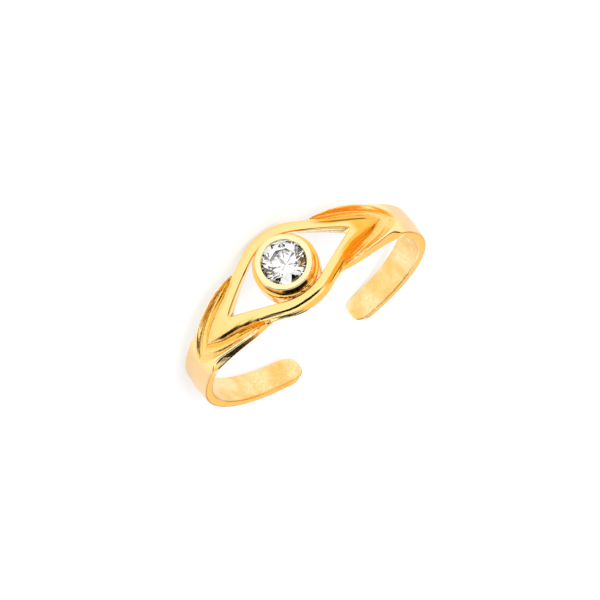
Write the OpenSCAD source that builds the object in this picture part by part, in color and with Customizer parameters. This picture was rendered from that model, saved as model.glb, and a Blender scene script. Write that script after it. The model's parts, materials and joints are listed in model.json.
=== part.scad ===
// Open toe ring: a plain band that sweeps up into nested V shoulders and an eye-shaped frame,
// with one round brilliant in a bezel cup. The ring lies on its side as it rests by itself.

/* [Band] */
// Radius of the toe opening
bore_r = 7.6; // [6.8:0.1:8.6]
// Wall of the plain band
band_wall = 0.65; // [0.55:0.05:0.8]
// Width of the band behind the shoulders
band_w = 2.2; // [2:0.1:2.6]
// Width of the band at its open ends
end_w = 1.65; // [1.4:0.05:1.9]
// Angle from the middle of the eye to each open end
end_angle = 163; // [155:1:168]
// How far the two ends are sprung aside, one up and one down
end_spring = 0.3; // [0:0.05:0.4]

/* [Eye] */
// Half width of the eye frame at the stone
eye_half = 2.72; // [2.5:0.02:3]
// Rise of the eye frame above the band
eye_rise = 0.47; // [0.4:0.01:0.6]
// Angle from the stone to each corner of the window
window_angle = 31.5; // [28:0.5:33]
// How far the window widens on each side from the frame's top to the bore
undercut = 0.3; // [0:0.05:0.35]
// Depth of the valleys between the frame and the shoulder ridges
valley_depth = 0.05; // [0.02:0.01:0.1]

/* [Setting] */
// Diameter of the stone at its girdle
stone_d = 3; // [2.9:0.05:3.1]
// Height of the rim above the band
rim_rise = 1.36; // [1.3:0.01:1.45]
// Radius of the foot that the cup stands on
foot_r = 2; // [1.95:0.01:2.1]
// Wall of the cup beside the girdle
cup_wall = 0.2; // [0.14:0.01:0.22]

/* [Hidden] */
band_r = bore_r + band_wall;
under_r = bore_r - 0.35;
round_fn = 96;

// Shoulder sections from the stone to the plain band, in mm from the middle line and in mm
// above the band: angle, frame top, frame foot, valley, ridge, edge, then the same five heights
ANGLE = 0;
TOP = 1;
FOOT = 2;
VALLEY = 3;
RIDGE = 4;
EDGE = 5;
SHOULDER = [
    // angle  top   foot  valley ridge edge   top   foot   valley ridge  edge
    [0,   2.32, 2.68, 2.70, 2.71, 2.72,   1.00,  0.12,  0.02, -0.15, -0.30],
    [5,   2.26, 2.62, 2.64, 2.65, 2.66,   1.00,  0.12,  0.02, -0.15, -0.30],
    [10,  2.04, 2.42, 2.44, 2.45, 2.46,   1.00,  0.12,  0.02, -0.15, -0.30],
    [15,  1.68, 2.07, 2.10, 2.12, 2.14,   0.99,  0.10,  0.00, -0.12, -0.25],
    [20,  1.32, 1.73, 1.78, 1.84, 1.90,   0.98,  0.07, -0.03,  0.05, -0.10],
    [25,  0.96, 1.41, 1.55, 1.76, 1.88,   0.96,  0.03, -0.05,  0.20,  0.04],
    [30,  0.68, 1.15, 1.36, 1.68, 1.84,   0.92,  0.00, -0.05,  0.24,  0.08],
    [36,  0.42, 0.90, 1.17, 1.51, 1.73,   0.82, -0.02, -0.05,  0.23,  0.07],
    [42,  0.20, 0.62, 0.98, 1.32, 1.60,   0.68, -0.03, -0.05,  0.21,  0.03],
    [47,  0.08, 0.28, 0.72, 1.12, 1.48,   0.42, -0.02, -0.05,  0.18, -0.01],
    [51,  0.10, 0.20, 0.44, 0.90, 1.38,   0.06, -0.01, -0.04,  0.14, -0.03],
    [57,  0.12, 0.18, 0.26, 0.50, 1.24,   0.03, -0.01, -0.02,  0.07, -0.05],
    [62,  0.24, 0.40, 0.56, 0.78, 1.14,   0.04,  0.03,  0.02,  0.02, -0.06],
    [70,  0.28, 0.48, 0.66, 0.86, 1.10,   0.05,  0.04,  0.03,  0.00, -0.07],
    [180, 0.28, 0.48, 0.66, 0.86, 1.10,   0.05,  0.04,  0.03,  0.00, -0.07]
];
HEIGHT = 5;
plain_angle = 70;
deepest = 0.05;

// Slope of a column at row i, from the rows on both sides of it
function slope(col, i) =
    let (a = max(i - 1, 0), b = min(i + 1, len(SHOULDER) - 1))
    (SHOULDER[b][col] - SHOULDER[a][col]) / (SHOULDER[b][ANGLE] - SHOULDER[a][ANGLE]);

function row_at(angle) = max([for (i = [0:len(SHOULDER) - 2]) SHOULDER[i][ANGLE] <= angle ? i : 0]);

// A column of the table at any angle, as a smooth curve through its rows
function curve(col, angle) =
    let (
        i = row_at(angle),
        span = SHOULDER[i + 1][ANGLE] - SHOULDER[i][ANGLE],
        t = (angle - SHOULDER[i][ANGLE]) / span,
        flat = SHOULDER[i][ANGLE] >= plain_angle,
        m0 = flat ? 0 : slope(col, i) * span,
        m1 = flat ? 0 : slope(col, i + 1) * span
    )
    SHOULDER[i][col] * (2 * t * t * t - 3 * t * t + 1) + m0 * (t * t * t - 2 * t * t + t)
    + SHOULDER[i + 1][col] * (3 * t * t - 2 * t * t * t) + m1 * (t * t * t - t * t);

function blend(a, b, t) = a + (b - a) * min(max(t, 0), 1);

// Half of the window in the eye, zero at its corners
window_mid = 1.95;
window_slope_end = 9;
window_knee = 1.66;
function window(angle) =
    angle < window_slope_end
    ? blend(window_mid, window_knee, pow(angle / window_slope_end, 2))
    : max(window_knee * (1 - (angle - window_slope_end) / (window_angle - window_slope_end)), 0);

// The band narrows from the shoulders to its ends, which are rounded
taper_start = 70;
taper_end = 150;
end_round = 8.5;
bluntness = 2.4;
tip_back = 5.5;
function width_factor(angle) =
    let (
        eye = eye_half / 2.72,
        band = blend(band_w, end_w, (angle - taper_start) / (taper_end - taper_start)) / 2.2,
        w = blend(eye, band, (angle - 20) / 40),
        u = max((angle - (end_angle - end_round)) / end_round, 0)
    )
    w * pow(1 - 0.95 * pow(u, bluntness), 1 / bluntness);

// Behind the toe the ends are sprung aside, and the left one reaches a little further round
left_lead = 1.6;
function back_share(angle) = max(abs(angle) - 90, 0) / (end_angle - 90);
function spring(angle) = sign(angle) * end_spring * pow(back_share(angle), 1.5);
function turned(angle) = angle + (angle > 0 ? left_lead * back_share(angle) : 0);

// From the crest of the shoulder the side of the band spreads down to the bore
crest_flat = 0.13;
function splay(angle) =
    max(curve(EDGE, angle) - curve(RIDGE, angle) - crest_flat, 0)
    * min(blend(0, 1, (angle - 20) / 4), blend(1, 0, (angle - 47) / 12));

// The opening is one true bore as far as this angle, and behind it the band is shaped by hand
bore_end = 96;
back_clear = 0.02;

function polar(angle, r, z) = [r * sin(angle), -r * cos(angle), z];

// One half section as [distance from the middle line, radius], from the middle outwards
shoulder_round = 0.13;
wall_foot = 0.12;
function half_section(angle) =
    let (
        f = width_factor(angle),
        open = blend(1, 0, (angle - window_angle + 3) / 6),
        lip = max(window(angle), 0.06 * curve(TOP, angle)),
        top = curve(TOP, angle) * f,
        top_r = band_r + curve(TOP + HEIGHT, angle) * eye_rise,
        foot = curve(FOOT, angle) * f,
        valley = curve(VALLEY, angle) * f,
        ridge = curve(RIDGE, angle) * f,
        edge = curve(EDGE, angle) * f,
        foot_r = band_r + curve(FOOT + HEIGHT, angle),
        valley_r = band_r + curve(VALLEY + HEIGHT, angle) * valley_depth / deepest,
        ridge_r = band_r + curve(RIDGE + HEIGHT, angle),
        edge_r = band_r + curve(EDGE + HEIGHT, angle),
        aside = splay(angle) * f,
        inner = blend(lip + 0.15, top * 0.4, (angle - window_angle) / 6)
    )
    [
        [0, top_r - shoulder_round * open],
        [min(lip, inner * 0.6) , top_r - shoulder_round * open],
        [min(inner, top * 0.7), top_r],
        [(min(inner, top * 0.7) + top) / 2, top_r + 0.015],
        [top, top_r - 0.01],
        [blend(top, foot, 0.5), blend(top_r, foot_r, 0.16)],
        [blend(top, foot, 0.83), blend(top_r, foot_r, 0.45)],
        [foot, foot_r],
        [valley, valley_r],
        [ridge, ridge_r],
        [edge - aside, aside > 0 ? max(ridge_r - 0.07, edge_r) : edge_r],
        [edge - 0.01, bore_r + wall_foot],
        [edge * 0.94, angle < bore_end ? under_r : bore_r + back_clear]
    ];

function full_section(angle) =
    let (h = half_section(abs(angle)), n = len(h) - 1, rise = spring(angle))
    [
        for (i = [n:-1:1]) polar(turned(angle), h[i][1], rise - h[i][0]),
        for (i = [0:n]) polar(turned(angle), h[i][1], rise + h[i][0])
    ];

half_stations = [
    for (a = [0:2.25:63]) a,
    70, 78, 86, bore_end - 2, bore_end,
    for (a = [102:6:150]) a,
    for (back = [end_round, tip_back, 3.2, 1.4, 0.4, 0]) end_angle - back
];
stations = [
    for (i = [len(half_stations) - 1:-1:1]) -half_stations[i],
    for (a = half_stations) a
];

// A solid through sections of equally many points, closed by its first and last section
module loft(sections) {
    n = len(sections[0]);
    last = len(sections) - 1;
    polyhedron(
        points = [for (s = sections) for (p = s) p],
        faces = concat(
            [[for (j = [n - 1:-1:0]) j]],
            [[for (j = [0:n - 1]) last * n + j]],
            [for (i = [0:last - 1]) for (j = [0:n - 1])
                let (k = (j + 1) % n) [i * n + j, i * n + k, (i + 1) * n + j]],
            [for (i = [0:last - 1]) for (j = [0:n - 1])
                let (k = (j + 1) % n) [i * n + k, (i + 1) * n + k, (i + 1) * n + j]]
        ),
        convexity = 8
    );
}

// The whole strap from end to end, before the window, the cup and the bore
module strap() {
    loft([for (a = stations) full_section(a)]);
}

// The eye-shaped opening on both sides of the setting, wider at the bore than at the top
corner_w = 0.01;
corner_turn = 2.5;
module window_cut() {
    frame_r = band_r + eye_rise;
    outer_r = frame_r + 0.1;
    steps = [-window_angle, for (a = [-29:4:-11]) a, for (a = [-8:4:8]) a, for (a = [11:4:29]) a, window_angle];
    function spread(r) = (frame_r - r) / (frame_r - bore_r);
    function half(a, r) = max(window(abs(a)) + undercut * spread(r), corner_w);
    function turn(a, r) = a * (1 + corner_turn / window_angle * spread(r));
    loft([
        for (a = steps) [
            for (r = [outer_r, under_r]) let (side = r == outer_r ? 1 : -1) each [
                polar(turn(a, r), r, -side * half(a, r)),
                polar(turn(a, r), r, side * half(a, r))
            ]
        ]
    ]);
}

// Places a shape turned about Z on the eye's own axis, pointing out of the ring
module at_eye() {
    rotate([90, 0, 0])
        children();
}

rim_top = band_r + rim_rise;
stone_r = stone_d / 2;
seat_gap = 0.03;
rim_out = stone_r + seat_gap + cup_wall;
foot_top = band_r + eye_rise + 0.12;
girdle_z = rim_top - 0.42;

module cup() {
    at_eye()
        rotate_extrude($fn = round_fn)
            polygon([
                [0, under_r], [foot_r - 0.06, under_r], [foot_r, bore_r + 0.4], [foot_r, foot_top - 0.1],
                [foot_r - 0.03, foot_top - 0.03], [foot_r - 0.1, foot_top], [rim_out + 0.06, foot_top + 0.06],
                [rim_out, rim_top - 0.07], [rim_out - 0.02, rim_top - 0.02], [rim_out - 0.07, rim_top], [0, rim_top]
            ]);
}

// The hollow of the cup: an open back, a sloped seat, the girdle's wall and the lip turned over it
back_r = 1.05;
lip_r = stone_r - 0.13;
module seat_cut() {
    wall_r = stone_r + seat_gap;
    at_eye()
        rotate_extrude($fn = round_fn)
            polygon([
                [0, under_r - 1], [back_r, under_r - 1], [back_r, girdle_z - 0.46], [wall_r, girdle_z - 0.05],
                [wall_r, girdle_z + 0.09], [lip_r, girdle_z + 0.22], [lip_r + 0.09, rim_top + 0.1], [0, rim_top + 0.1]
            ]);
}

module bore_cut() {
    cylinder(r = bore_r, h = 4 * eye_half, center = true, $fn = 2 * round_fn);
}

// The ring rests on three points of its lower edges: the eye's, an open end's and the band's
edge_low = -0.07;
function low_point(angle, r) =
    polar(turned(angle), r, spring(angle) - curve(EDGE, abs(angle)) * width_factor(abs(angle)));
rest_eye = low_point(2, bore_r + wall_foot);
rest_end = low_point(-(end_angle - tip_back), band_r + edge_low);
rest_side = low_point(end_spring > 0 ? 126 : end_angle - tip_back, band_r + edge_low);
rest_cross = cross(rest_end - rest_eye, rest_side - rest_eye);
rest_down = rest_cross / norm(rest_cross);
rest_lean = atan(rest_down[1] / rest_down[2]);
rest_roll = asin(rest_down[0]);
rest_rise = rest_down * rest_eye;
rest_back = (rim_top - band_r) / 2;

// Turns and lifts the ring from its own axis to the way it rests on its side
module rest() {
    translate([0, rest_back, rest_rise])
        rotate([rest_lean, rest_roll, 0])
            children();
}

module ring_band() {
    color("gold")
        rest()
            difference() {
                union() {
                    difference() {
                        strap();
                        window_cut();
                    }
                    cup();
                }
                bore_cut();
                seat_cut();
            }
}

// Round brilliant: table, star, kite and girdle facets above, mains and halves below
table_r = 0.56 * stone_r;
crown_h = 0.15 * stone_d;
pavilion_h = 0.43 * stone_d;
girdle_h = 0.025 * stone_d;
star_r = 0.79 * stone_r;
half_r = 0.24 * stone_r;
function ring_points(r, z, turn) = [for (k = [0:7]) [r * cos(45 * k + turn), r * sin(45 * k + turn), z]];

module brilliant() {
    half_turn = 22.5;
    star_z = crown_h * (stone_r - star_r * cos(half_turn)) / (stone_r - table_r);
    half_z = -pavilion_h * (1 - half_r * cos(half_turn) / stone_r);
    points = concat(
        ring_points(table_r, crown_h, 0),
        ring_points(star_r, star_z, half_turn),
        ring_points(stone_r, 0, 0),
        ring_points(stone_r, 0, half_turn),
        ring_points(stone_r, -girdle_h, 0),
        ring_points(stone_r, -girdle_h, half_turn),
        ring_points(half_r, half_z - girdle_h, half_turn),
        [[0, 0, -pavilion_h - girdle_h]]
    );
    star = 8;
    top_main = 16;
    top_half = 24;
    low_main = 32;
    low_half = 40;
    lower = 48;
    culet = 56;
    faces = concat(
        [[for (k = [7:-1:0]) k]],
        [for (k = [0:7]) let (n = (k + 1) % 8) [k, n, star + k]],
        [for (k = [0:7]) let (p = (k + 7) % 8) [k, star + k, top_main + k, star + p]],
        [for (k = [0:7]) [star + k, top_half + k, top_main + k]],
        [for (k = [0:7]) let (n = (k + 1) % 8) [star + k, top_main + n, top_half + k]],
        [for (k = [0:7]) [top_main + k, top_half + k, low_half + k, low_main + k]],
        [for (k = [0:7]) let (n = (k + 1) % 8) [top_half + k, top_main + n, low_main + n, low_half + k]],
        [for (k = [0:7]) [lower + k, low_main + k, low_half + k]],
        [for (k = [0:7]) let (n = (k + 1) % 8) [lower + k, low_half + k, low_main + n]],
        [for (k = [0:7]) let (p = (k + 7) % 8) [culet, lower + p, low_main + k, lower + k]]
    );
    polyhedron(points = points, faces = faces, convexity = 2);
}

module stone() {
    color("white")
        rest()
            at_eye()
                translate([0, 0, girdle_z])
                    brilliant();
}

ring_band();
stone();
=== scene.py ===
import math

import bmesh
import bpy
import numpy as np
from mathutils import Matrix, Vector
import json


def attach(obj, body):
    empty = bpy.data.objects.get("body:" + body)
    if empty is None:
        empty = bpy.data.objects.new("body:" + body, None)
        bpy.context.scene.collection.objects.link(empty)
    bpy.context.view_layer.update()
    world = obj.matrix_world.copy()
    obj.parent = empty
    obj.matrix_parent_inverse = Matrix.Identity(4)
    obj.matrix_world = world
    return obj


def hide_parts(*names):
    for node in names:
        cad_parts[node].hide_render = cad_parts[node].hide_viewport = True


bl_info = {
    "name": "Open Toe Ring",
    "version": (1, 0, 0),
    "blender": (4, 5, 0),
    "location": "View3D > Sidebar > Toe Ring",
    "description": "Builds a gold toe ring with an eye-shaped frame and a round stone",
    "category": "Add Mesh",
}

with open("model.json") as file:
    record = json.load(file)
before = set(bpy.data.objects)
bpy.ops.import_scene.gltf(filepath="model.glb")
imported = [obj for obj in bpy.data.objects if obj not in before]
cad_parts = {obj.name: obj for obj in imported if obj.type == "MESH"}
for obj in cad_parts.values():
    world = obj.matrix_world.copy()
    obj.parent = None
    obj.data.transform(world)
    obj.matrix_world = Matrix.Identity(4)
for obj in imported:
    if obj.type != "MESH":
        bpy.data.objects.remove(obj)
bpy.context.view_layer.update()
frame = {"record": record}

MM = 0.001
MOUNT = next(m for m in frame["record"]["mounts"] if m["name"] == "toe_opening")
BORE_MM = MOUNT["dims"]["r_mm"]
REST_CLEAR = 0.015
CLOSE = 1e-6


def rest_matrix():
    """From the ring's own axes, in millimetres, to the way it rests on its side, in metres."""
    axis = Vector(MOUNT["axis"]).normalized()
    lean = Matrix.Rotation(-math.asin(axis.y), 4, "X")
    roll = Matrix.Rotation(math.atan2(axis.x, axis.z), 4, "Y")
    clear = Vector((0, 0, REST_CLEAR * MM))
    return Matrix.Translation(Vector(MOUNT["pos_m"]) + clear) @ roll @ lean @ Matrix.Scale(MM, 4)


REST = rest_matrix()
TO_EYE = Matrix.Rotation(math.radians(90), 4, "X")


# The sizes and colours that a user would change, grouped as the sidebar shows them


class BandSizes(bpy.types.PropertyGroup):
    wall: bpy.props.FloatProperty(
        name="Wall", description="Wall of the plain band, in mm",
        default=0.65, min=0.5, max=0.8)
    width: bpy.props.FloatProperty(
        name="Width", description="Width of the band behind the shoulders, in mm",
        default=2.2, min=2, max=2.6)
    end_width: bpy.props.FloatProperty(
        name="End width", description="Width of the band at its open ends, in mm",
        default=1.65, min=1.4, max=1.9)
    end_angle: bpy.props.FloatProperty(
        name="End angle", description="Angle from the stone to each open end", subtype="ANGLE",
        default=math.radians(163))
    spring: bpy.props.FloatProperty(
        name="Spring", description="How far each end is sprung aside, in mm",
        default=0.3, min=0, max=0.4)
    rise: bpy.props.FloatProperty(
        name="Eye rise", description="Rise of the eye frame above the band, in mm",
        default=0.47, min=0.4, max=0.6)
    undercut: bpy.props.FloatProperty(
        name="Undercut", description="How far the window widens towards the bore, in mm",
        default=0.3, min=0, max=0.4)
    window_angle: bpy.props.FloatProperty(
        name="Window", description="Angle from the stone to each corner of the window", subtype="ANGLE",
        default=math.radians(31.5))
    channel: bpy.props.FloatProperty(
        name="Channel", description="Depth of the channels in the shoulders, in mm",
        default=0.09, min=0, max=0.14)


class SettingSizes(bpy.types.PropertyGroup):
    stone_d: bpy.props.FloatProperty(
        name="Stone", description="Diameter of the stone, in mm",
        default=3, min=2.9, max=3.1)
    rim_rise: bpy.props.FloatProperty(
        name="Rim rise", description="Height of the rim above the band, in mm",
        default=1.358, min=1.3, max=1.45)
    foot_r: bpy.props.FloatProperty(
        name="Foot", description="Radius of the cup's foot, in mm",
        default=2, min=1.95, max=2.1)
    cup_wall: bpy.props.FloatProperty(
        name="Cup wall", description="Wall of the cup beside the stone, in mm",
        default=0.2, min=0.14, max=0.22)


class Finishes(bpy.types.PropertyGroup):
    gold: bpy.props.FloatVectorProperty(
        name="Gold", description="Polished gold",
        subtype="COLOR", default=(1.0, 0.75, 0.31))
    satin: bpy.props.FloatVectorProperty(
        name="Satin gold", description="Gold of the plain band",
        subtype="COLOR", default=(0.9, 0.61, 0.27))
    # Channel gold: the channels are rough, and their orange is painted shade in the recesses
    channel: bpy.props.FloatVectorProperty(
        name="Channel gold", description="Rough gold in the channels",
        subtype="COLOR", default=(1.0, 0.52, 0.09))
    stone: bpy.props.FloatVectorProperty(
        name="Stone", description="Body colour of the stone",
        subtype="COLOR", default=(1.0, 1.0, 1.0))
    floor: bpy.props.FloatVectorProperty(
        name="Floor", description="Colour of the floor",
        subtype="COLOR", default=(0.36, 0.36, 0.365))


GROUPS = {"toe_ring_band": BandSizes, "toe_ring_setting": SettingSizes, "toe_ring_finishes": Finishes}


# Shader graphs


class Wire:
    """A socket that takes part in sums: each operator adds the Math node that does it."""

    def __init__(self, graph, socket):
        self.graph = graph
        self.socket = socket

    def sum(self, operation, *others):
        values = {i: v for i, v in enumerate((self, *others))}
        return self.graph.add("ShaderNodeMath", values, operation=operation)

    def __add__(self, other):
        return self.sum("ADD", other)

    def __rsub__(self, other):
        return self.graph.add("ShaderNodeMath", {0: other, 1: self}, operation="SUBTRACT")

    def __mul__(self, other):
        return self.sum("MULTIPLY", other)

    __radd__ = __add__
    __rmul__ = __mul__

    def clamp(self):
        return self.graph.add("ShaderNodeClamp", {"Value": self})

    def ramp(self, low, high):
        """0 below low, 1 above high and smooth between them."""
        values = {"Value": self, "From Min": low, "From Max": high}
        return self.graph.add("ShaderNodeMapRange", values, interpolation_type="SMOOTHSTEP")


class Graph:
    """The nodes of one material or world."""

    def __init__(self, tree):
        self.tree = tree
        tree.nodes.clear()

    def put(self, socket, value):
        """Links a wire to the socket, or sets the constant on the socket itself."""
        if isinstance(value, Wire):
            self.tree.links.new(value.socket, socket)
        elif isinstance(value, (tuple, list)) and len(value) == 3 and socket.type == "RGBA":
            socket.default_value = (*value, 1)
        else:
            socket.default_value = value

    def add(self, kind, values=None, out=0, **settings):
        """Adds a node, and gives the wire from one of its outputs."""
        node = self.tree.nodes.new(kind)
        for name, setting in settings.items():
            setattr(node, name, setting)
        for name, value in (values or {}).items():
            self.put(node.inputs[name], value)
        return Wire(self, node.outputs[out]) if node.outputs else node

    def mix(self, share, first, second):
        return self.add("ShaderNodeMix", {0: share, 6: first, 7: second}, 2, data_type="RGBA")

    def attribute(self, name):
        return self.add("ShaderNodeAttribute", out=2, attribute_name=name)

    def noise(self, size_mm, detail=3.0, rough=0.5):
        place = self.add("ShaderNodeTexCoord", out=3)
        values = {"Vector": place, "Scale": 1 / (size_mm * MM), "Detail": detail, "Roughness": rough}
        return self.add("ShaderNodeTexNoise", values)

    def bump(self, height, depth_mm):
        return self.add("ShaderNodeBump", {"Height": height, "Distance": depth_mm * MM})


def new_material(name):
    material = bpy.data.materials.new(name)
    material.use_nodes = True
    return material, Graph(material.node_tree)


def finish_shader(graph, values):
    shader = graph.add("ShaderNodeBsdfPrincipled", values)
    graph.add("ShaderNodeOutputMaterial", {"Surface": shader})


# Painted light on the gold, where the cards of the tent don't give the tone: the creams are painted
# highlights, the warm and foot oranges are painted reflections, and the shades are painted shade. The inside
# colours are random tones in the bore, the brown is specks on the foot, and the seat's near white is painted
# so that the stone shows white, not gold, from the seat.
HIGHLIGHT_CREAM = (1.0, 0.95, 0.76)
RIM_HIGHLIGHT = (1.0, 0.88, 0.56)
INSIDE_PALE = (1.0, 0.86, 0.5)
INSIDE_ORANGE = (1.0, 0.57, 0.13)
FOOT_REFLECTION = (1.0, 0.54, 0.1)
WARM_REFLECTION = (0.94, 0.46, 0.03)
BROWN = (0.3, 0.08, 0.01)
BAND_SHADE = (0.08, 0.02, 0.005)
NECK_SHADE = (0.05, 0.015, 0.005)
SEAT_WHITE = (0.9, 0.89, 0.86)


def tinted(colour, *factors):
    return tuple(c * f for c, f in zip(colour, factors))


def ring_gold(looks):
    """Polished gold, satin on the plain band, rough in the channels, cast inside the bore. The orange in the
    channels is painted shade, and the gold also has a painted highlight by the crests, painted warm
    reflections and a painted shade line.
    """
    material, g = new_material("ring_gold")
    channel, satin, inside = (g.attribute(n) for n in ("channel", "satin", "inside"))
    mottle = g.noise(0.16, 4, 0.6)
    cloud = g.noise(0.7, 3, 0.5)
    fine = g.noise(0.05, 2, 0.5)
    polished = g.mix(cloud, tuple(looks.gold), tinted(looks.gold, 1, 0.97, 0.9))
    body = g.mix(satin, polished, tuple(looks.satin))
    # The channels' orange is painted shade in the recesses; their roughness and bump are real
    body = g.mix(channel * (0.4 + 0.6 * mottle.ramp(0.35, 0.6)), body, tuple(looks.channel))
    # Painted warm reflection: orange on the right tongue and slope, and along the left channel
    body = g.mix(g.attribute("warm") * (0.7 + 0.3 * cloud), body, WARM_REFLECTION)
    # Painted shade: a dark line along the frame's top edge
    body = g.mix(g.attribute("shade"), body, BAND_SHADE)
    # Painted highlight: cream just outside the crests
    body = g.mix(g.attribute("bright") * 0.8, body, HIGHLIGHT_CREAM)
    patches = g.noise(1.6, 2, 0.5).ramp(0.4, 0.62)
    body = g.mix(inside * (0.25 + 0.75 * mottle.ramp(0.35, 0.7)), body, INSIDE_PALE)
    body = g.mix(inside * patches * (0.4 + 0.6 * cloud), body, INSIDE_ORANGE)
    rough = 0.09 + 0.2 * satin + 0.12 * channel + 0.1 * inside + 0.05 * cloud
    height = mottle * (0.1 + channel + 1.1 * inside) + fine * (0.1 * satin + 0.1)
    finish_shader(g, {
        "Base Color": body, "Metallic": 1.0, "Roughness": rough.clamp(),
        "Normal": g.bump(height, 0.03)})
    return material


def cup_gold(looks):
    """Polished gold, with a painted highlight on the rim, painted orange reflection and brown specks on the
    foot, painted shade under the rim, and a seat painted near white so that the stone shows white from it.
    """
    material, g = new_material("cup_gold")
    cloud = g.noise(0.5, 3, 0.5)
    body = g.mix(cloud, tuple(looks.gold), tinted(looks.gold, 1, 0.96, 0.85))
    # The seat is painted near white, so that the stone shows white, not gold, from it
    body = g.mix(g.attribute("seat"), body, SEAT_WHITE)
    # Painted highlight: paler cream on the rim's top
    body = g.mix(g.attribute("rim") * 0.7, body, RIM_HIGHLIGHT)
    # Painted reflection: deeper orange on the foot and the neck
    body = g.mix(g.attribute("foot") * (0.7 + 0.3 * cloud), body, FOOT_REFLECTION)
    specks = g.noise(0.16, 4, 0.6).ramp(0.48, 0.6)
    body = g.mix(g.attribute("speckled") * specks, body, BROWN)
    # Painted shade: a dark crescent on the neck under the rim
    body = g.mix(g.attribute("shade") * 0.96, body, NECK_SHADE)
    finish_shader(g, {
        "Base Color": body, "Metallic": 1.0, "Roughness": 0.07 + 0.06 * cloud,
        "Normal": g.bump(g.noise(0.3, 3), 0.008)})
    return material


def clear_stone(looks):
    material, g = new_material("clear_stone")
    wear = g.noise(0.4, 3)
    finish_shader(g, {
        "Base Color": tuple(looks.stone), "Roughness": 0.02 * wear.ramp(0.5, 0.8), "IOR": 2.17,
        "Transmission Weight": 1.0})
    return material


# Modelling


def deselect():
    if bpy.context.object and bpy.context.object.mode != "OBJECT":
        bpy.ops.object.mode_set(mode="OBJECT")
    bpy.ops.object.select_all(action="DESELECT")


def only(piece):
    deselect()
    piece.select_set(True)
    bpy.context.view_layer.objects.active = piece


def finish_piece(piece, name, material, replaced, sharp_deg):
    """Sets a modelled piece where the ring rests, and ties it to the frame."""
    piece.name = piece.data.name = name
    piece.data.transform(REST)
    only(piece)
    bpy.ops.object.mode_set(mode="EDIT")
    bpy.ops.mesh.select_all(action="SELECT")
    bpy.ops.mesh.normals_make_consistent(inside=False)
    bpy.ops.object.mode_set(mode="OBJECT")
    if sharp_deg:
        bpy.ops.object.shade_smooth_by_angle(angle=math.radians(sharp_deg))
    else:
        bpy.ops.object.shade_flat()
    piece.data.materials.clear()
    piece.data.materials.append(material)
    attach(piece, "root")
    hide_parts(replaced)
    deselect()


# Shoulder lines as distances from the middle line in mm, then their heights above the band in mm.
# A line that has passed its V's tip goes on below zero, so that its slope still shapes the tip.
STOPS = (0, 5, 10, 15, 20, 25, 30, 36, 42, 47, 51, 55, 59, 63, 70, 180)
LINES = {
    "top": (2.32, 2.26, 2.04, 1.68, 1.32, 0.96, 0.68, 0.42,
            0.18, -0.06, -0.3, -0.5, -0.8, -1.1, -1.6, -1.6),
    "foot": (2.66, 2.6, 2.4, 2.06, 1.72, 1.4, 1.13, 0.88,
             0.6, 0.24, -0.12, -0.4, -0.7, -1, -1.5, -1.5),
    "channel": (2.68, 2.62, 2.42, 2.08, 1.78, 1.51, 1.27, 1.03,
                0.76, 0.42, 0.04, -0.3, -0.6, -0.9, -1.4, -1.4),
    "inner_ridge": (2.69, 2.63, 2.43, 2.1, 1.82, 1.61, 1.45, 1.25,
                    1, 0.72, 0.4, 0.02, -0.4, -0.8, -1.3, -1.3),
    "groove": (2.7, 2.64, 2.44, 2.11, 1.85, 1.68, 1.57, 1.38,
               1.17, 0.93, 0.66, 0.32, -0.08, -0.4, -1.2, -1.2),
    "crest": (2.71, 2.65, 2.45, 2.12, 1.88, 1.76, 1.68, 1.51,
              1.32, 1.12, 0.92, 0.67, 0.34, -0.1, -1, -1),
    "edge": (2.72, 2.66, 2.46, 2.14, 1.9, 1.88, 1.84, 1.73,
             1.6, 1.48, 1.38, 1.29, 1.2, 1.13, 1.1, 1.1),
}
HEIGHTS = {
    "top": (1, 1, 1, 0.99, 0.98, 0.96, 0.92, 0.82,
            0.68, 0.5, 0.3, 0.12, 0.05, 0, 0, 0),
    "foot": (0.1, 0.1, 0.1, 0.09, 0.06, 0.03, 0.01, -0.03,
             -0.05, -0.06, -0.06, -0.05, -0.03, 0, 0, 0),
    "channel": (0, 0, 0, 0, -0.03, -0.06, -0.06, -0.04,
                -0.03, -0.02, -0.01, 0, 0, 0, 0, 0),
    "inner_ridge": (-0.1, -0.1, -0.1, -0.08, 0, 0.03, 0.03, 0.02,
                    0.01, 0.01, 0.01, 0.01, 0.01, 0.01, 0, 0),
    "groove": (-0.2, -0.2, -0.2, -0.15, 0, 0.02, -0.02, -0.05,
               -0.06, -0.06, -0.05, -0.03, -0.01, 0, 0, 0),
    "crest": (-0.25, -0.25, -0.25, -0.2, 0.03, 0.18, 0.23, 0.23,
              0.21, 0.18, 0.15, 0.11, 0.07, 0.05, 0.03, 0.03),
    "edge": (-0.3, -0.3, -0.3, -0.25, -0.1, 0.04, 0.08, 0.06,
             0.02, -0.02, -0.04, -0.05, -0.06, -0.06, -0.07, -0.07),
}
TABLE_WIDTH = 2.2
TABLE_CHANNEL = 0.09

# The sections' small measures in mm, and how many points each has
CREST_FLAT = 0.1
STEEP = 0.08
LIP_ROUND = 0.09
EDGE_ROUND = 0.09
END_ROUND = 0.2
COLUMNS = 46
FINE = 400
CORNER_POINTS = 5

# Stations round the band in degrees: close over the shoulders, then wide, then close at the ends
SHOULDER_END, SHOULDER_STEP = 64.5, 0.35
PLAIN_START, PLAIN_STEP = 66, 2
END_STEPS = (8.5, 7.5, 6.5, 5.5, 4.5, 3.6, 2.8, 2.1, 1.5, 1, 0.6, 0.3, 0.12, 0.04, 0)


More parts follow.
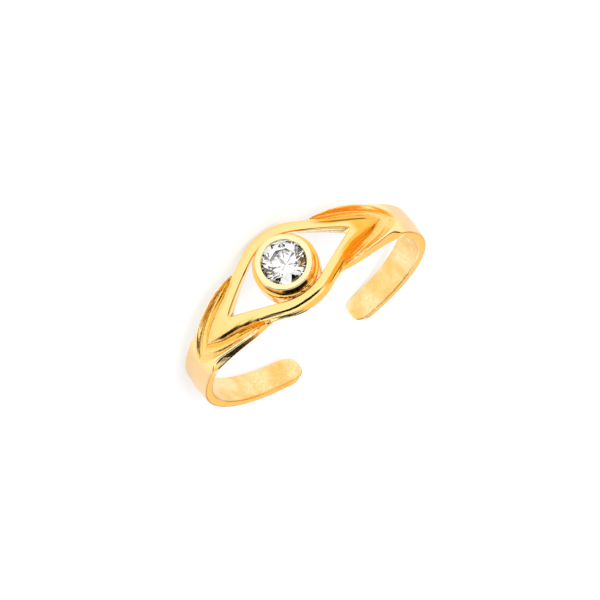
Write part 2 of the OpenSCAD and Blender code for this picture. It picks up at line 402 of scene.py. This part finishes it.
def smooth_table(stops, values, at):
    """A smooth curve through a row of the tables, at many places at once."""
    stops, values = np.array(stops, float), np.array(values, float)
    slopes = np.gradient(values, stops)
    slopes[-2:] = 0
    i = np.clip(np.searchsorted(stops, at, side="right") - 1, 0, len(stops) - 2)
    span = stops[i + 1] - stops[i]
    t = (at - stops[i]) / span
    return (values[i] * (2 * t**3 - 3 * t**2 + 1) + slopes[i] * span * (t**3 - 2 * t**2 + t)
            + values[i + 1] * (3 * t**2 - 2 * t**3) + slopes[i + 1] * span * (t**3 - t**2))


def blend(a, b, t):
    return a + (b - a) * np.clip(t, 0, 1)


class Shoulders:
    """The relief of the band: its width, how far the window reaches and how high each point lies."""

    taper = (70, 150)
    end_round_deg = 8.5
    end_bluntness = 2.4
    left_lead_deg = 1.6
    window_mid = 1.95
    window_knee = 1.66
    knee_deg = 9
    corner_deg = 2.5

    def __init__(self, sizes):
        self.sizes = sizes
        self.band_r = BORE_MM + sizes.wall
        self.end_deg = math.degrees(sizes.end_angle)
        self.window_deg = math.degrees(sizes.window_angle)

    def line(self, name, angle):
        """Distance of a line of the relief from the middle line."""
        return smooth_table(STOPS, LINES[name], angle) * self.width_factor(angle)

    def height(self, name, angle):
        h = smooth_table(STOPS, HEIGHTS[name], angle)
        if name == "top":
            return h * self.sizes.rise
        return h * self.sizes.channel / TABLE_CHANNEL if name == "channel" else h

    def width_factor(self, angle):
        """Share of the tables' width that the band has, down to its rounded end."""
        s = self.sizes
        start, end = self.taper
        band = blend(s.width, s.end_width, (angle - start) / (end - start)) / TABLE_WIDTH
        u = max((angle - self.end_deg + self.end_round_deg) / self.end_round_deg, 0)
        tip = (1 - 0.97 * min(u, 1) ** self.end_bluntness) ** (1 / self.end_bluntness)
        return float(blend(1, band, (angle - 20) / 40)) * tip

    def turned(self, angle):
        """The left end reaches a little further round than the right one."""
        return angle + self.left_lead_deg * max(angle - 90, 0) / (self.end_deg - 90)

    def window(self, angle):
        """Half width of the window at its lip."""
        if angle < self.knee_deg:
            return float(blend(self.window_mid, self.window_knee, (angle / self.knee_deg) ** 2))
        return max(self.window_knee * (1 - (angle - self.knee_deg) / (self.window_deg - self.knee_deg)), 0)

    def spring(self, angle):
        """How far the band is sprung aside, which grows from the sides to the ends."""
        back = max(abs(angle) - 90, 0) / (self.end_deg - 90)
        return math.copysign(self.sizes.spring * back**1.5, angle)

    def relief(self, angle, across):
        """Height above the band at distances across from the middle line."""
        names = list(LINES)
        at = [self.line(n, angle) for n in names]
        up = [self.height(n, angle) for n in names]
        at.insert(-1, min(at[-2] + CREST_FLAT, (at[-2] + at[-1]) / 2))
        up.insert(-1, up[-2])
        result = np.full_like(across, up[0])
        for a, b, ha, hb in zip(at, at[1:], up, up[1:]):
            t = np.clip((across - a) / max(b - a, CLOSE), 0, 1)
            if a == at[0]:
                share = 1 - np.sqrt(1 - t * t)
            elif b - a > STEEP:
                share = t * t * (3 - 2 * t)
            else:
                share = t
            result = np.where(across > a, ha + (hb - ha) * share, result)
        return result

    def splay(self, angle):
        """How far the band's side spreads from the crest down to the bore."""
        room = self.line("edge", angle) - self.line("crest", angle) - CREST_FLAT - 0.03
        share = min(blend(0, 1, (angle - 20) / 4), blend(1, 0, (angle - 47) / 12))
        return max(room, 0) * float(share)

    def undercut(self, angle):
        """How far the window widens from its lip to the bore, and goes on past its corner."""
        past = (angle - self.window_deg) / self.corner_deg
        return self.sizes.undercut * float(blend(0.5, 1, angle / 12)) * max(0, 1 - max(0, past))

    def section(self, angle):
        """One half section as a closed loop of (distance from the middle line, radius) in mm."""
        side = abs(angle)
        x = max((self.end_deg - side) * math.radians(1) * self.band_r, 0)
        inset = END_ROUND - math.sqrt(max(END_ROUND**2 - max(END_ROUND - x, 0) ** 2, 0))
        low = BORE_MM + inset
        base = self.line("edge", side) - inset
        edge = base - self.splay(side)
        lip = self.window(side)
        lip_round = min(LIP_ROUND, 0.5 * lip)
        fine = lip + (edge - lip) * (1 - np.cos(np.linspace(0, math.pi, FINE))) / 2
        high = self.band_r + self.relief(side, fine) - inset
        if lip_round > 0:
            near = np.clip(lip_round - (fine - lip), 0, lip_round)
            high -= lip_round - np.sqrt(lip_round**2 - near**2)
        near = np.clip(EDGE_ROUND - (edge - fine), 0, EDGE_ROUND)
        high -= EDGE_ROUND - np.sqrt(EDGE_ROUND**2 - near**2)
        along = np.concatenate([[0], np.cumsum(np.hypot(np.diff(fine), np.diff(high)))])
        even = np.linspace(0, along[-1], COLUMNS)
        outer = list(zip(np.interp(even, along, fine), np.interp(even, along, high)))
        wall_top, lip_top = outer[-1][1], outer[0][1]
        turns = np.linspace(0, math.pi / 2, CORNER_POINTS)
        corner = [(1 - math.cos(t), 1 - math.sin(t)) for t in turns]
        loop = outer
        foot = low + EDGE_ROUND
        loop += [(edge + (base - edge) * t, wall_top + (foot - wall_top) * t) for t in (0.2, 0.4, 0.6, 0.8)]
        loop += [(base - EDGE_ROUND * a, low + EDGE_ROUND * b) for a, b in corner]
        back = lip + self.undercut(side)
        back_round = min(LIP_ROUND, 0.5 * back)
        inner = back + back_round
        start = base - EDGE_ROUND
        loop += [(start + (inner - base + EDGE_ROUND) * t, low) for t in np.linspace(0, 1, 8)[1:-1]]
        loop += [(back + back_round * b, low + back_round * a) for a, b in corner]
        past = np.clip((side - self.window_deg) / self.corner_deg, 0, 1)
        peak, foot = lip_top + (low - lip_top) * past, min(low + back_round, lip_top)
        loop += [(back + (lip - back) * t, foot + (peak - foot) * t) for t in (0.25, 0.5, 0.75, 1)]
        loop.append((lip, lip_top))
        return loop


def stations(shape):
    """Angles of the sections, with one at each corner of the window."""
    half = list(np.arange(0, SHOULDER_END, SHOULDER_STEP))
    half = [a for a in half if abs(a - shape.window_deg) > 0.17] + [shape.window_deg]
    half += list(np.arange(PLAIN_START, shape.end_deg - END_STEPS[0] - 0.5, PLAIN_STEP))
    half = sorted(half + [shape.end_deg - d for d in END_STEPS])
    return [-a for a in reversed(half[1:])] + half


def paint(mesh, name, values):
    layer = mesh.attributes.new(name, "FLOAT", "POINT")
    layer.data.foreach_set("value", np.asarray(values, np.float32))


def grow(values, start, length):
    """0 below start, 1 a length above it and straight between them."""
    return np.clip((values - start) / length, 0, 1)


def fade(values, end, length):
    """1 a length below the end, 0 above it and straight between them."""
    return np.clip((end - values) / length, 0, 1)


def hump(values, width):
    return np.exp(-(values / width) ** 2)


def paint_band(band, shape, angles, loops):
    """Gives each point of the wrapped grid the shares that ring_gold reads."""
    count = len(loops[0])
    flat = np.array([p for loop in loops for p in loop])
    across = flat[:, 0]
    depth = flat[:, 1] - shape.band_r
    column = np.tile(np.arange(count), len(angles))
    outer = column < COLUMNS
    side = np.abs(np.repeat(angles, count))
    right = np.repeat(np.array(angles) < 0, count)
    rows = {n: np.array([shape.line(n, s) for s in np.abs(angles)]).repeat(count) for n in LINES}
    top, foot, channel, groove, crest = (rows[n] for n in ("top", "foot", "channel", "groove", "crest"))
    between = (across > top) & (across < crest) & (side > 21) & (side < 61)

    # Channel share: rough and bumped gold, painted orange deepest in the channel and the groove as painted
    # shade
    lows = hump(across - channel, 0.12) + hump(across - groove, 0.07)
    waves = 0.5 + 0.5 * np.cos(2 * math.pi * (across - groove) / 0.2)
    paint(band.data, "channel", outer * between * np.clip(0.3 + 0.5 * lows + 0.4 * waves, 0, 1))

    # Painted warm reflection on the right tongue and slope, and painted orange along the channel on the left
    tongue = grow(side, shape.window_deg, 3) * fade(side, 56, 6) * (across < top)
    slope = grow(across, top - 0.2, 0.08) * fade(across, foot + 0.1, 0.1)
    slope = slope * grow(side, 18, 6) * fade(side, 54, 6)
    left_warm_reflection = np.maximum(0.2 * tongue, hump(across - channel, 0.1) * between)
    paint(band.data, "warm", outer * np.where(right, np.maximum(tongue, slope), left_warm_reflection))

    # Painted shade: a dark line along the frame's top edge, on the right
    shade_line = hump(across - top + 0.02, 0.05) * grow(side, 18, 8) * fade(side, 42, 2)
    paint(band.data, "shade", outer * right * shade_line)
    # Painted highlight: cream just outside the crest
    bright = hump(across - crest - 0.05, 0.07) * grow(side, 24, 3) * fade(side, 54, 6)
    paint(band.data, "bright", outer * bright)
    paint(band.data, "satin", outer * grow(side, 58, 6) * (across > crest))
    paint(band.data, "inside", (depth < -0.5 * shape.sizes.wall) & (column > COLUMNS + 4))


def wrap_grid(shape, angles, loops):
    """A grid whose rows are the half sections, set at their angles round the bore."""
    count = len(loops[0])
    deselect()
    bpy.ops.mesh.primitive_grid_add(x_subdivisions=count - 1, y_subdivisions=len(angles) - 1, size=1)
    band = bpy.context.object
    flat = np.array([p for loop in loops for p in loop])
    turn = np.radians(np.repeat([shape.turned(a) for a in angles], count))
    place = np.stack([flat[:, 1] * np.sin(turn), -flat[:, 1] * np.cos(turn), flat[:, 0]], 1)
    band.data.vertices.foreach_set("co", place.astype(np.float32).ravel())
    return band


def mirror_half(band):
    """Opens the half band on the middle line and mirrors it over it."""
    only(band)
    bpy.ops.object.mode_set(mode="EDIT")
    bpy.ops.mesh.select_all(action="DESELECT")
    edit = bmesh.from_edit_mesh(band.data)
    for face in edit.faces:
        face.select_set(all(v.co.z < CLOSE for v in face.verts))
    bmesh.update_edit_mesh(band.data)
    bpy.ops.mesh.delete(type="FACE")
    bpy.ops.mesh.select_all(action="SELECT")
    bpy.ops.mesh.remove_doubles(threshold=CLOSE)
    bpy.ops.object.mode_set(mode="OBJECT")
    bpy.ops.object.modifier_add(type="MIRROR")
    mirror = band.modifiers[-1]
    mirror.use_axis = (False, False, True)
    mirror.merge_threshold = CLOSE
    bpy.ops.object.modifier_apply(modifier=mirror.name)


def make_band(sizes, looks):
    """Half sections wrapped round the bore, mirrored over the middle line and sprung aside at the ends."""
    shape = Shoulders(sizes)
    angles = stations(shape)
    loops = [shape.section(a) for a in angles]
    band = wrap_grid(shape, angles, loops)
    paint_band(band, shape, angles, loops)
    mirror_half(band)
    # The painted shade line stays on the lower side only
    for vertex, shade in zip(band.data.vertices, band.data.attributes["shade"].data):
        shade.value *= vertex.co.z < 0
    bpy.ops.object.mode_set(mode="EDIT")
    bpy.ops.mesh.select_all(action="DESELECT")
    bpy.ops.mesh.select_non_manifold()
    bpy.ops.mesh.fill_holes(sides=0)
    bpy.ops.object.mode_set(mode="OBJECT")
    for vertex in band.data.vertices:
        x, y, z = vertex.co
        vertex.co.z = z + shape.spring(math.degrees(math.atan2(x, -y)))
    finish_piece(band, "band", ring_gold(looks), "ring_band", 50)
    return band


def spin_profile(profile, steps=128):
    """A closed outline of (radius, height) spun about Z into a watertight solid."""
    deselect()
    bpy.ops.mesh.primitive_circle_add(vertices=len(profile), radius=1, fill_type="NOTHING")
    piece = bpy.context.object
    for vertex, (r, z) in zip(piece.data.vertices, profile):
        vertex.co = (r, 0, z)
    bpy.ops.object.mode_set(mode="EDIT")
    bpy.ops.mesh.select_all(action="SELECT")
    bpy.ops.mesh.spin(steps=steps, angle=2 * math.pi, center=(0, 0, 0), axis=(0, 0, 1))
    bpy.ops.mesh.select_all(action="SELECT")
    bpy.ops.mesh.remove_doubles(threshold=1e-5)
    bpy.ops.object.mode_set(mode="OBJECT")
    return piece


def arc(centre, radius, start, end, count):
    """Points on an arc, for outlines."""
    return [
        (centre[0] + radius * math.cos(t), centre[1] + radius * math.sin(t))
        for t in (math.radians(start + (end - start) * i / (count - 1)) for i in range(count))
    ]


# The setting's fixed measures in mm
SEAT_GAP = 0.03
GIRDLE_BELOW_RIM = 0.42
FOOT_STEP = 0.12
LIP_OVER = 0.13
BACK_R = 1.05
FOOT_ROUND = 0.1
FILLET = 0.1
RIM_ROUND = 0.07
LIP_TURN = 0.05
NECK_SPREAD = 0.15


def make_cup(sizes, band_sizes, looks):
    """The bezel: foot, neck and rim outside, lip, seat and open back inside."""
    band_r = BORE_MM + band_sizes.wall
    stone_r = sizes.stone_d / 2
    wall_r = stone_r + SEAT_GAP
    rim_out = wall_r + sizes.cup_wall
    rim_top = band_r + sizes.rim_rise
    girdle_z = rim_top - GIRDLE_BELOW_RIM
    foot_top = band_r + band_sizes.rise + FOOT_STEP
    lip_r = stone_r - LIP_OVER
    foot = sizes.foot_r
    under = BORE_MM - 0.2
    profile = [(foot, under), (foot, foot_top - 0.5)]
    profile += arc((foot - FOOT_ROUND, foot_top - FOOT_ROUND), FOOT_ROUND, 0, 90, 7)
    profile += arc((rim_out + NECK_SPREAD, foot_top + FILLET), FILLET, 270, 200, 5)
    profile += arc((rim_out - RIM_ROUND, rim_top - RIM_ROUND), RIM_ROUND, 0, 90, 7)
    profile += arc((lip_r + LIP_TURN, rim_top - LIP_TURN), LIP_TURN, 90, 180, 5)
    profile += [(lip_r, girdle_z + 0.24), (wall_r, girdle_z + 0.11), (wall_r, girdle_z - 0.05)]
    profile += [(BACK_R, girdle_z - 0.46), (BACK_R, under)]
    cup = spin_profile(profile)

    x, y, z = np.array([v.co for v in cup.data.vertices]).T
    out, around = np.hypot(x, y), np.degrees(np.arctan2(x, y))
    below = (out > rim_out - CLOSE) & (z < rim_top - 0.1)
    neck = below & (out < rim_out + 0.12) & (z > foot_top + 0.02)
    # Seat painted near white, so that the stone shows white from it
    paint(cup.data, "seat", (out < wall_r + CLOSE) & (z < girdle_z + 0.3))
    # Painted orange reflection on all of the outside below the rim
    paint(cup.data, "foot", below)
    # Painted shade on one side of the neck
    paint(cup.data, "shade", neck * grow(around, -5, 12) * fade(around, 84, 14))
    paint(cup.data, "speckled", below * grow(around, -40, 10) * fade(around, 48, 10))
    # Painted highlight on the rim's top
    paint(cup.data, "rim", (out > lip_r - CLOSE) & (out < rim_out + CLOSE) & (z > rim_top - 0.08))

    for vertex in cup.data.vertices:
        if vertex.co.z < BORE_MM - 0.1:
            vertex.co.z = math.sqrt(BORE_MM**2 - vertex.co.x**2)
    cup.data.transform(TO_EYE)
    finish_piece(cup, "bezel_cup", cup_gold(looks), "ring_band", 40)
    return cup


# The brilliant's proportions: radii as shares of the girdle's, heights as shares of the diameter
TABLE_SHARE, STAR_SHARE, LOW_SHARE = 0.56, 0.79, 0.24
CROWN_SHARE, PAVILION_SHARE, GIRDLE_SHARE = 0.15, 0.43, 0.025
STONE_SIDES = 16


def plane_of(a, b, c):
    """A point and the outward normal of the facet through three points of the upper or lower stone."""
    normal = (b - a).cross(c - a).normalized()
    return a, normal if normal.dot(a) > 0 else -normal


def make_stone(sizes, band_sizes, looks):
    """A round brilliant, ground from a cylinder one facet at a time."""
    girdle_r = sizes.stone_d / 2
    table_r, star_r, low_r = (share * girdle_r for share in (TABLE_SHARE, STAR_SHARE, LOW_SHARE))
    heights = (CROWN_SHARE, PAVILION_SHARE, GIRDLE_SHARE)
    crown, pavilion, girdle = (share * sizes.stone_d for share in heights)
    half_turn = 2 * math.pi / STONE_SIDES
    star_z = crown * (girdle_r - star_r * math.cos(half_turn)) / (girdle_r - table_r)
    low_z = -pavilion * (1 - low_r * math.cos(half_turn) / girdle_r) - girdle

    def at(r, z, step):
        return Vector((r * math.cos(step * half_turn), r * math.sin(step * half_turn), z))

    culet = Vector((0, 0, -pavilion - girdle))
    cuts = []
    for k in range(0, STONE_SIDES, 2):
        main, star, after = at(girdle_r, 0, k), at(star_r, star_z, k + 1), at(star_r, star_z, k - 1)
        cuts.append(plane_of(at(table_r, crown, k), star, after))
        cuts.append(plane_of(at(table_r, crown, k), at(table_r, crown, k + 2), star))
        cuts.append(plane_of(star, main, at(girdle_r, 0, k + 1)))
        cuts.append(plane_of(after, main, at(girdle_r, 0, k - 1)))
        low = at(girdle_r, -girdle, k)
        cuts.append(plane_of(culet, at(low_r, low_z, k + 1), at(low_r, low_z, k - 1)))
        cuts.append(plane_of(at(low_r, low_z, k + 1), low, at(girdle_r, -girdle, k + 1)))
        cuts.append(plane_of(at(low_r, low_z, k - 1), low, at(girdle_r, -girdle, k - 1)))
    deselect()
    depth = crown + girdle + pavilion
    bpy.ops.mesh.primitive_cylinder_add(
        vertices=96, radius=girdle_r, depth=depth, location=(0, 0, crown - depth / 2))
    stone = bpy.context.object
    bpy.ops.object.transform_apply(location=True)
    bpy.ops.object.mode_set(mode="EDIT")
    for point, normal in cuts:
        bpy.ops.mesh.select_all(action="SELECT")
        bpy.ops.mesh.bisect(plane_co=point, plane_no=normal, use_fill=True, clear_outer=True, threshold=1e-5)
    bpy.ops.object.mode_set(mode="OBJECT")
    girdle_z = BORE_MM + band_sizes.wall + sizes.rim_rise - GIRDLE_BELOW_RIM
    stone.data.transform(TO_EYE @ Matrix.Translation((0, 0, girdle_z)))
    finish_piece(stone, "cut_stone", clear_stone(looks), "stone", 0)
    return stone


# Stage: floor, light and camera

CAMERA_AROUND = math.radians(3.21)
CAMERA_UP = math.radians(17.94)
CAMERA_ROLL = math.radians(142.78)
CAMERA_MM = 400
FRAME_WIDTH_MM = 36.185
FRAME_SHIFT_MM = (-0.390, 0.429)


def make_camera():
    """Looks from above the eye's right, turned as the ring hangs in the frame."""
    around, up, roll = CAMERA_AROUND, CAMERA_UP, CAMERA_ROLL
    to_camera = Vector((math.sin(around) * math.cos(up), -math.cos(around) * math.cos(up), math.sin(up)))
    level = Vector((math.cos(around), math.sin(around), 0))
    above = to_camera.cross(level)
    right = math.cos(roll) * level + math.sin(roll) * above
    top = to_camera.cross(right)
    data = bpy.data.cameras.new("camera")
    camera = bpy.data.objects.new("camera", data)
    bpy.context.scene.collection.objects.link(camera)
    turn = Matrix((right, top, to_camera)).transposed().to_4x4()
    ring_turn = REST.to_3x3().normalized().to_4x4()
    centre = CAMERA_MM * to_camera + FRAME_SHIFT_MM[0] * right + FRAME_SHIFT_MM[1] * top
    camera.matrix_world = Matrix.Translation(REST @ centre) @ ring_turn @ turn
    data.sensor_width = 36
    data.lens = data.sensor_width * CAMERA_MM / FRAME_WIDTH_MM
    data.clip_start, data.clip_end = 0.01, 10
    bpy.context.scene.camera = camera


FLOOR_GLOW = 0.55


def make_floor(looks):
    """Pale paper that glows a little, as paper in a light tent does."""
    deselect()
    bpy.ops.mesh.primitive_plane_add(size=3)
    floor = bpy.context.object
    floor.name = "floor"
    material, g = new_material("floor_paper")
    grain = g.noise(4, 2)
    shade = g.mix(grain, tuple(looks.floor), tuple(0.985 * c for c in looks.floor))
    finish_shader(g, {
        "Base Color": shade, "Roughness": 0.8,
        "Emission Color": (1.0, 1.0, 1.0), "Emission Strength": FLOOR_GLOW})
    floor.data.materials.append(material)


def toward(around_deg, up_deg):
    """Direction from the ring: degrees round from the front to the ring's left, degrees up."""
    around, up = math.radians(around_deg), math.radians(up_deg)
    return Vector((math.sin(around) * math.cos(up), -math.cos(around) * math.cos(up), math.sin(up)))


# Cards in the white tent, which polished gold mirrors: degrees round, degrees up, half size and soft
# edge in degrees, colour
DARK = (0.01, 0.007, 0.005)
AMBER = (0.98, 0.56, 0.1)
PEACH = (1.15, 0.78, 0.4)
CARDS = (
    (186, 9, 10, 8, PEACH),
    (202, 14, 10, 6, PEACH),
    (186, 38, 16, 8, PEACH),
    (-75, 25, 28, 16, AMBER),
    (-115, 30, 22, 14, AMBER),
    (5, 48, 24, 6, DARK),
    (48, 44, 22, 6, DARK),
    (102, 19, 23, 4, DARK),
    (-138, 22, 12, 4, DARK),
    (170, 11, 8, 2, DARK),
)
TENT_LIGHT = 1.25
FRONT_LIGHT = 2.0
FRONT_LIGHT_FROM = (-20, 40)
FRONT_LIGHT_SIZE = math.radians(30)


def make_tent():
    """A white tent with cards. Light through the stone meets only the dark ones, so it stays clear."""
    world = bpy.data.worlds.new("tent")
    bpy.context.scene.world = world
    world.use_nodes = True
    g = Graph(world.node_tree)
    place = g.add("ShaderNodeTexCoord")
    seen, scattered, through_stone = (g.add("ShaderNodeLightPath", out=i) for i in (0, 2, 6))
    light = (TENT_LIGHT,) * 3
    for around, up, half, soft, colour in CARDS:
        near = g.add("ShaderNodeVectorMath", {0: place, 1: toward(around, up)}, 1, operation="DOT_PRODUCT")
        share = near.ramp(math.cos(math.radians(half + soft)), math.cos(math.radians(half)))
        if colour != DARK:
            share = share * (1 - through_stone)
        light = g.mix(share, light, colour)
    light = g.mix(scattered, light, (TENT_LIGHT,) * 3)
    background = g.add("ShaderNodeBackground", {"Color": g.mix(seen, light, (1.0, 1.0, 1.0))})
    g.add("ShaderNodeOutputWorld", {"Surface": background})


def make_front_light():
    """One soft light, which the gold and the stone don't mirror."""
    data = bpy.data.lights.new("front_light", "SUN")
    data.energy = FRONT_LIGHT
    data.angle = FRONT_LIGHT_SIZE
    lamp = bpy.data.objects.new("front_light", data)
    bpy.context.scene.collection.objects.link(lamp)
    lamp.rotation_euler = toward(*FRONT_LIGHT_FROM).to_track_quat("Z", "Y").to_euler()
    lamp.visible_glossy = lamp.visible_transmission = False


class MakeBand(bpy.types.Operator):
    """Models the band with its shoulders and eye frame"""

    bl_idname = "toe_ring.band"
    bl_label = "Band"

    def execute(self, context):
        scene = context.scene
        make_band(scene.toe_ring_band, scene.toe_ring_finishes)
        return {"FINISHED"}


class MakeSetting(bpy.types.Operator):
    """Models the bezel cup and the stone in it"""

    bl_idname = "toe_ring.setting"
    bl_label = "Setting"

    def execute(self, context):
        scene = context.scene
        make_cup(scene.toe_ring_setting, scene.toe_ring_band, scene.toe_ring_finishes)
        make_stone(scene.toe_ring_setting, scene.toe_ring_band, scene.toe_ring_finishes)
        return {"FINISHED"}


class MakeStage(bpy.types.Operator):
    """Lays the floor and sets the light and the camera"""

    bl_idname = "toe_ring.stage"
    bl_label = "Stage"

    def execute(self, context):
        make_floor(context.scene.toe_ring_finishes)
        make_tent()
        make_front_light()
        make_camera()
        context.scene.view_settings.view_transform = "Standard"
        return {"FINISHED"}


OPERATORS = (MakeBand, MakeSetting, MakeStage)


class ToeRingPanel(bpy.types.Panel):
    """Sidebar panel with the sizes, colours and steps"""

    bl_idname = "VIEW3D_PT_toe_ring"
    bl_label = "Toe Ring"
    bl_space_type = "VIEW_3D"
    bl_region_type = "UI"
    bl_category = "Toe Ring"

    def draw(self, context):
        for group in GROUPS:
            box = self.layout.box()
            values = getattr(context.scene, group)
            for name in values.__annotations__:
                box.prop(values, name)
        for operator in OPERATORS:
            self.layout.operator(operator.bl_idname)


def register():
    for cls in (*GROUPS.values(), *OPERATORS, ToeRingPanel):
        bpy.utils.register_class(cls)
    for name, group in GROUPS.items():
        setattr(bpy.types.Scene, name, bpy.props.PointerProperty(type=group))


def unregister():
    for name in GROUPS:
        delattr(bpy.types.Scene, name)
    for cls in (ToeRingPanel, *reversed(OPERATORS), *reversed(GROUPS.values())):
        bpy.utils.unregister_class(cls)


def main():
    register()
    bpy.ops.toe_ring.band()
    bpy.ops.toe_ring.setting()
    bpy.ops.toe_ring.stage()
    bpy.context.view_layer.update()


if __name__ == "__main__":
    main()
